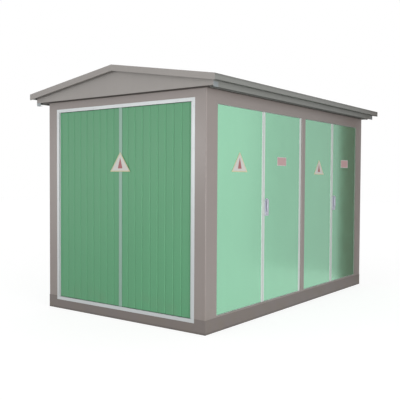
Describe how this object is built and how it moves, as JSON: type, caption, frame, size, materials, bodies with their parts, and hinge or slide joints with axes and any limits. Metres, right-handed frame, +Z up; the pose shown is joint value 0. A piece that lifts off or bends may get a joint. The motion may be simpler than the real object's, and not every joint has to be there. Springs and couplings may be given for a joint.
{
  "type": "compact substation enclosure",
  "caption": "Gable-roofed steel substation box on a channel base, with paired hinged doors along one long side and ribbed end walls.",
  "frame": {"origin": "on the ground, under the middle of the building", "axes": "+Z up; +Y along the length; the side with the doors faces +X, the gable end of the picture faces -Y"},
  "size_m": [2.56, 3.93, 2.611],
  "materials": {
    "base": "semi-gloss grey-brown enamel on the channel base",
    "frame": "semi-gloss taupe enamel",
    "roof": "semi-gloss warm grey enamel",
    "floor": "grey painted steel plate",
    "trim": "satin anodised aluminium",
    "end_panel": "green coated ribbed sheet",
    "door": "smooth glossy mint-green coated sheet",
    "lock": "lilac-grey plated lock furniture"
  },
  "bodies": {
    "enclosure": {"base_channel_right": "base", "base_channel_left": "base", "base_channel_front": "base", "base_channel_rear": "base", "floor_bearers": "base", "floor_plate": "floor", "corner_post_front_right": "frame", "corner_post_front_left": "frame", "corner_post_rear_right": "frame", "corner_post_rear_left": "frame", "mullion_right": "frame", "mullion_left": "frame", "top_rail_right": "frame", "top_rail_left": "frame", "top_rail_front": "frame", "top_rail_rear": "frame", "door_sills": "frame", "left_sills": "frame", "front_frame_stiles": "trim", "front_frame_rails": "trim", "front_panels": "end_panel", "front_centre_strip": "trim", "rear_frame_stiles": "trim", "rear_frame_rails": "trim", "rear_panels": "end_panel", "rear_centre_strip": "trim", "left_panels": "door", "left_panel_trims": "trim", "ceiling_panel": "roof", "eave_beam_right": "roof", "eave_beam_left": "roof", "gable_panel_front": "roof", "gable_panel_rear": "roof", "roof_cover": "roof"},
    "door_leaf_1": {"door_1": "door", "door_1_stiles": "trim"},
    "door_leaf_2": {"door_2": "door", "door_2_stiles": "trim", "lock_plate_2": "lock"},
    "door_leaf_3": {"door_3": "door", "door_3_stiles": "trim"},
    "door_leaf_4": {"door_4": "door", "door_4_stiles": "trim", "lock_plate_4": "lock"},
    "lever_2": {"lock_lever_2": "lock"},
    "lever_4": {"lock_lever_4": "lock"}
  },
  "joints": [
    {"name": "door_1_hinge", "type": "hinge", "parent": "enclosure", "child": "door_leaf_1", "pos_m": [1.08, -1.633, 0.158], "axis": [0, 0, -1], "range_deg": [0, 110]},
    {"name": "door_2_hinge", "type": "hinge", "parent": "enclosure", "child": "door_leaf_2", "pos_m": [1.08, 0.042, 0.158], "axis": [0, 0, 1], "range_deg": [0, 90]},
    {"name": "door_3_hinge", "type": "hinge", "parent": "enclosure", "child": "door_leaf_3", "pos_m": [1.08, 0.174, 0.158], "axis": [0, 0, -1], "range_deg": [0, 90]},
    {"name": "door_4_hinge", "type": "hinge", "parent": "enclosure", "child": "door_leaf_4", "pos_m": [1.08, 1.633, 0.158], "axis": [0, 0, 1], "range_deg": [0, 110]},
    {"name": "lock_lever_2_turn", "type": "hinge", "parent": "door_leaf_2", "child": "lever_2", "pos_m": [1.1, -0.7215, 1.233], "axis": [1, 0, 0], "range_deg": [0, 90]},
    {"name": "lock_lever_4_turn", "type": "hinge", "parent": "door_leaf_4", "child": "lever_4", "pos_m": [1.1, 0.9775, 1.233], "axis": [1, 0, 0], "range_deg": [0, 90]}
  ]
}
